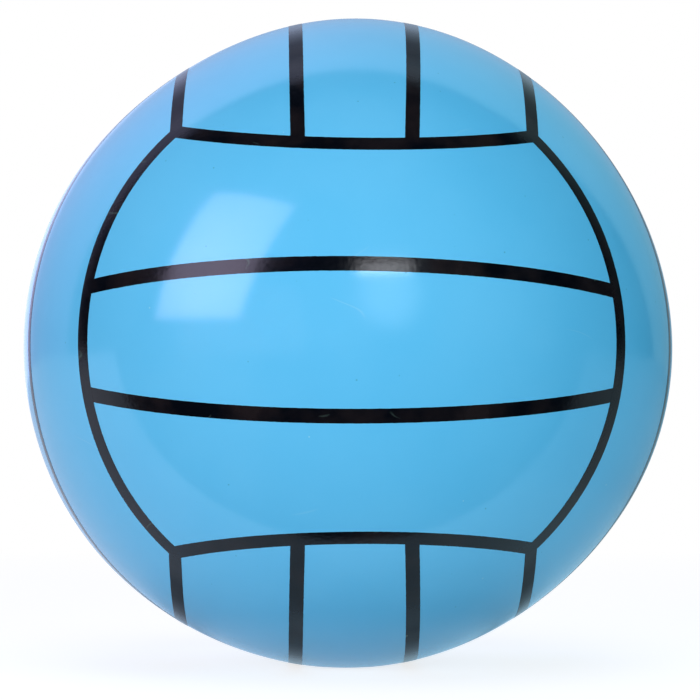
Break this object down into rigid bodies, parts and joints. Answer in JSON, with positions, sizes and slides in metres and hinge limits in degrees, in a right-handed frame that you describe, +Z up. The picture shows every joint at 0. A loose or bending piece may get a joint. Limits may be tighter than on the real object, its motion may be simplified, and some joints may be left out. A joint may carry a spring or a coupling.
{
  "type": "plastic ball",
  "caption": "Inflated glossy plastic play ball for water games, light blue with black panel lines, and a pull-out stopper in its valve.",
  "frame": {"origin": "centre of the ball", "axes": "+Z up from the flat that the ball stands on, -Y out of the front of the printed pattern, +Y out of the valve, +X to the right of the front"},
  "size_m": [0.22, 0.2199, 0.2194],
  "materials": {
    "skin": "gloss",
    "seat": "satin",
    "stopper": "satin",
    "ink": "satin"
  },
  "bodies": {
    "ball": {"ball_skin": "skin", "valve_seat": "seat", "back_upper_inner_line": "ink", "back_upper_outer_line": "ink", "back_lower_inner_line": "ink", "back_lower_outer_line": "ink", "front_upper_inner_line": "ink", "front_upper_outer_line": "ink", "front_lower_inner_line": "ink", "front_lower_outer_line": "ink", "right_back_inner_line": "ink", "right_back_outer_line": "ink", "right_front_inner_line": "ink", "right_front_outer_line": "ink", "left_back_inner_line": "ink", "left_back_outer_line": "ink", "left_front_inner_line": "ink", "left_front_outer_line": "ink", "top_right_inner_line": "ink", "top_right_outer_line": "ink", "top_left_inner_line": "ink", "top_left_outer_line": "ink", "bottom_right_inner_line": "ink", "bottom_right_outer_line": "ink", "bottom_left_inner_line": "ink", "bottom_left_outer_line": "ink"},
    "stopper": {"valve_stopper": "stopper"}
  },
  "joints": [
    {"name": "stopper_pull", "type": "slide", "parent": "ball", "child": "stopper", "axis": [0, 1, 0], "range_m": [0, 0.012]}
  ]
}
